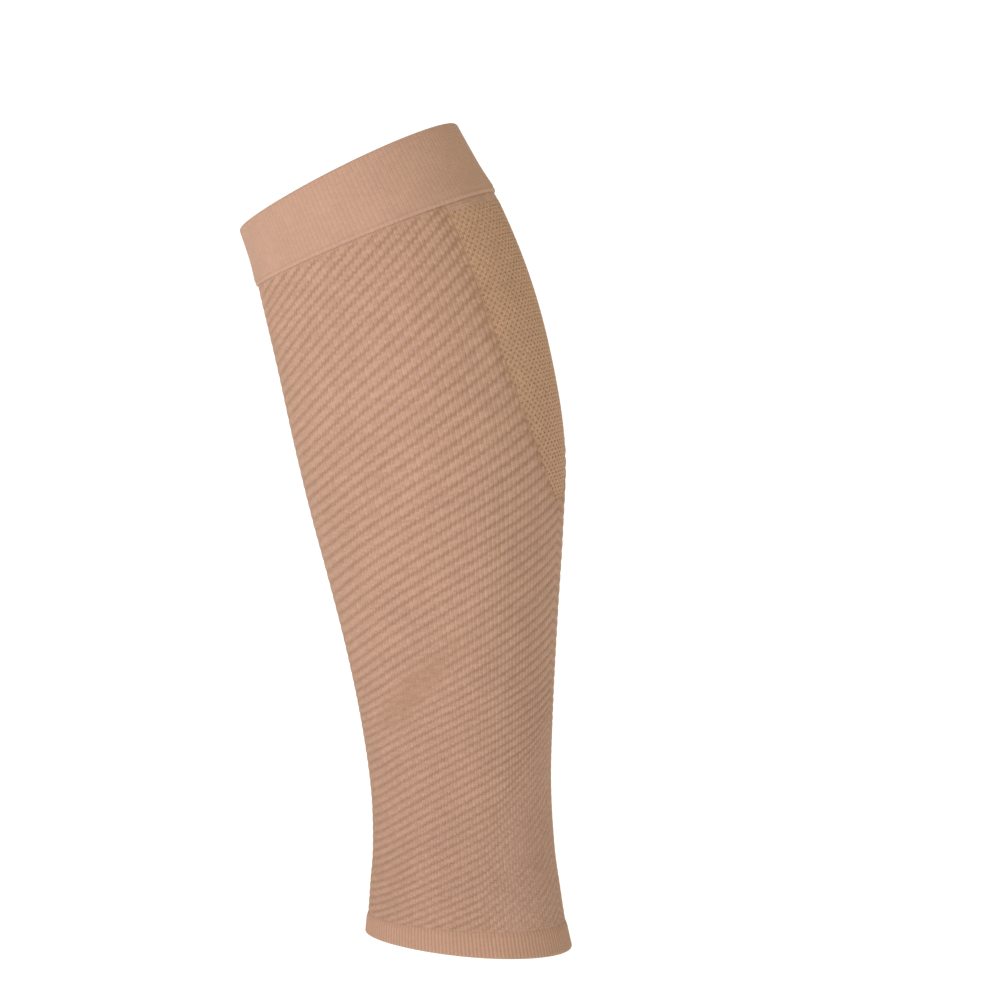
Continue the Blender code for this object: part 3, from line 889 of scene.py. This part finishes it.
def foldedBand(name, band, seam, rim, trim, yarn):
    # A band whose cloth is folded over at the rim: a fine outer face over the fold, and a coarse inner wall.
    # Its rows are (height, proud, rib share) from the seam, over the fold and a little way down inside.
    wall = sleeve["wall"]
    way = 1 if rim > seam else -1
    radius = (wall + band["step"]) / 2
    shoulder = rim - way * radius
    straight = np.linspace(seam, shoulder, band["straightRows"] + 1)
    swell = smoothStep(0, band["edgeRise"], np.abs(straight - seam))
    outer = band["edge"] + (band["step"] - band["edge"]) * swell
    rows = [(h, proud + trim(abs(h - seam)), 1.0) for h, proud in zip(straight, outer)]
    for turn in np.linspace(0, pi, band["foldRows"] + 1)[1:]:
        ribLeft = (1 + fold["ribLeft"]) / 2 + (1 - fold["ribLeft"]) / 2 * cos(turn)
        proud = (band["step"] - wall) / 2 + radius * cos(turn)
        rows.append((shoulder + way * radius * sin(turn), proud, ribLeft))
    for row in range(1, band["insideRows"] + 1):
        rows.append((shoulder - way * fold["rowDrop"] * row, -wall, fold["ribLeft"]))
    blocks = (len(rows) - 1) // sleeve["perBlock"]
    lining = np.linspace(seam, rows[-1][0] - way * fold["liningGap"], blocks + 1)
    if way < 0:
        rows.reverse()
        lining = lining[::-1]
    heights, proud, ribShare = np.array(rows).T
    shares = heights / sleeve["height"]
    angles = waleAngles(shares, sleeve["perWale"])
    length = np.r_[0, np.cumsum(np.hypot(np.diff(heights), np.diff(proud)))] * millimetres
    fields = {key: 0 * angles for key in ("ribRow", "ribSpread", "ribFade", "cordEdge", "sink", "openShare")}
    # Painted light and shade on the cuff's raised line and the groove over it, following their height
    trimmed = np.array([trim(abs(h - seam)) for h in heights])
    fields["toneLift"] = perRow(band["trimPaintedLight"] * trimmed, angles)
    fields["wale"] = (np.arange(angles.shape[1]) + 0.5)[None, :] / sleeve["perWale"] + 0 * angles
    fields["waleFade"] = perRow(ribShare, angles)
    shell = raiseShell(legPoints(perRow(shares, angles), angles, proud[:, None]), fields,
                       perRow(length, angles), sleeve["perBlock"], reliefNodes,
                       {**ribValues, "Wale Height": band["ribHeight"], "Wale Shade": band["ribShade"],
                        "Yarn": yarn})
    shares = lining / sleeve["height"]
    angles = waleAngles(shares, 1)
    inner = legPoints(perRow(shares, angles), angles, -wall)
    pieces[name] = cutPiece(name, shell, inner, np.ones((blocks, sleeve["wales"]), bool), yarn)


foldedBand("topCuff", cuff, sleeve["cuffSeam"], sleeve["height"], cuffTrim, cuffKnit)
foldedBand("ankleHem", hem, sleeve["hemSeam"], 0.0, lambda height: 0.0, hemKnit)
print("cuff and hem knitted")

# Every piece is cloth on the one rigid body, stretched over the leg
standsFor = {
    "ankleRibs": "leg_body",
    "shankRibs": "leg_body",
    "calfRibs": "leg_body",
    "upperRibs": "leg_body",
    "calfMesh": "calf_mesh",
    "topCuff": "top_cuff",
    "ankleHem": "ankle_hem",
}
for name, piece in pieces.items():
    node = standsFor[name]
    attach(piece, "root")
    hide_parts(node)

# Studio: a white floor and surround, and one soft light from the shin side
studio = {
    "floorDrop": 0.10,
    "floorSize": 8.0,
    "floorPaper": "#f4f4f4",
    "floorRough": 0.9,
    "floorGlow": 0.53,
    "floorColour": "#eaf2ff",
    "around": 0.55,          # strength of the light from all round, and of what the camera sees behind
    "behind": 1.1,
    "aroundColour": "#fffbda",
    "keyPower": 1.56,
    "keyColour": "#faf7ff",
    "keyTurn": 38.0,         # degrees from the camera towards the shin side, and up
    "keyRise": 28.0,
    "keySoftness": 40.0,
}
view = {
    "azimuth": 108.0,
    "elevation": 3.535,
    "roll": -8.98,
    "distance": 2.5,
    "lens": 205.55,
    "sensor": 36.0,
    "aimRight": 0.02702,
    "aimUp": -0.04811,
}

bpy.ops.mesh.primitive_plane_add(size=studio["floorSize"])
floor = bpy.context.object
floor.name = "floor"
floor.data.transform(Matrix.Translation((0, 0, cadBox[0][2] - studio["floorDrop"])))
paper = bpy.data.materials.new("mattPaper")
paper.use_nodes = True
paperLook = paper.node_tree.nodes["Principled BSDF"].inputs
paperLook["Base Color"].default_value = hexColour(studio["floorPaper"])
paperLook["Roughness"].default_value = studio["floorRough"]
paperLook["Emission Color"].default_value = hexColour(studio["floorColour"])
paperLook["Emission Strength"].default_value = studio["floorGlow"]
floor.data.materials.append(paper)

world = bpy.data.worlds.new("whiteRoom")
bpy.context.scene.world = world
world.use_nodes = True
room = world.node_tree
room.nodes.clear()
seen = addNode(room, "ShaderNodeLightPath", {}, output=0)
glow = addNode(room, "ShaderNodeBackground", {"Color": hexColour(studio["aroundColour"]),
                                              "Strength": studio["around"]})
white = addNode(room, "ShaderNodeBackground", {"Color": (1, 1, 1, 1), "Strength": studio["behind"]})
mixed = addNode(room, "ShaderNodeMixShader", {0: seen, 1: glow, 2: white})
addNode(room, "ShaderNodeOutputWorld", {"Surface": mixed})

azimuth, elevation, roll = radians(view["azimuth"]), radians(view["elevation"]), radians(view["roll"])
back = Vector((sin(azimuth) * cos(elevation), -cos(azimuth) * cos(elevation), sin(elevation)))
right = Vector((cos(azimuth), sin(azimuth), 0))
up = back.cross(right)
cameraX = right * cos(roll) + up * sin(roll)
cameraY = up * cos(roll) - right * sin(roll)
aim = right * view["aimRight"] + Vector((0, 0, view["aimUp"]))
camera = bpy.data.objects.new("camera", bpy.data.cameras.new("camera"))
facing = Matrix((cameraX, cameraY, back)).transposed().to_4x4()
camera.matrix_world = Matrix.Translation(aim + back * view["distance"]) @ facing
camera.data.lens = view["lens"]
camera.data.sensor_width = view["sensor"]
bpy.context.scene.collection.objects.link(camera)
bpy.context.scene.camera = camera

turn, rise = radians(studio["keyTurn"]), radians(studio["keyRise"])
level = (back - Vector((0, 0, back.z))).normalized()
fromKey = (level * cos(turn) - right * sin(turn)) * cos(rise) + Vector((0, 0, sin(rise)))
key = bpy.data.objects.new("key", bpy.data.lights.new("key", "SUN"))
key.data.energy = studio["keyPower"]
key.data.color = hexColour(studio["keyColour"])[:3]
key.data.angle = radians(studio["keySoftness"])
key.rotation_euler = fromKey.to_track_quat("Z", "Y").to_euler()
bpy.context.scene.collection.objects.link(key)
bpy.context.scene.view_settings.view_transform = "Standard"
print("studio set")
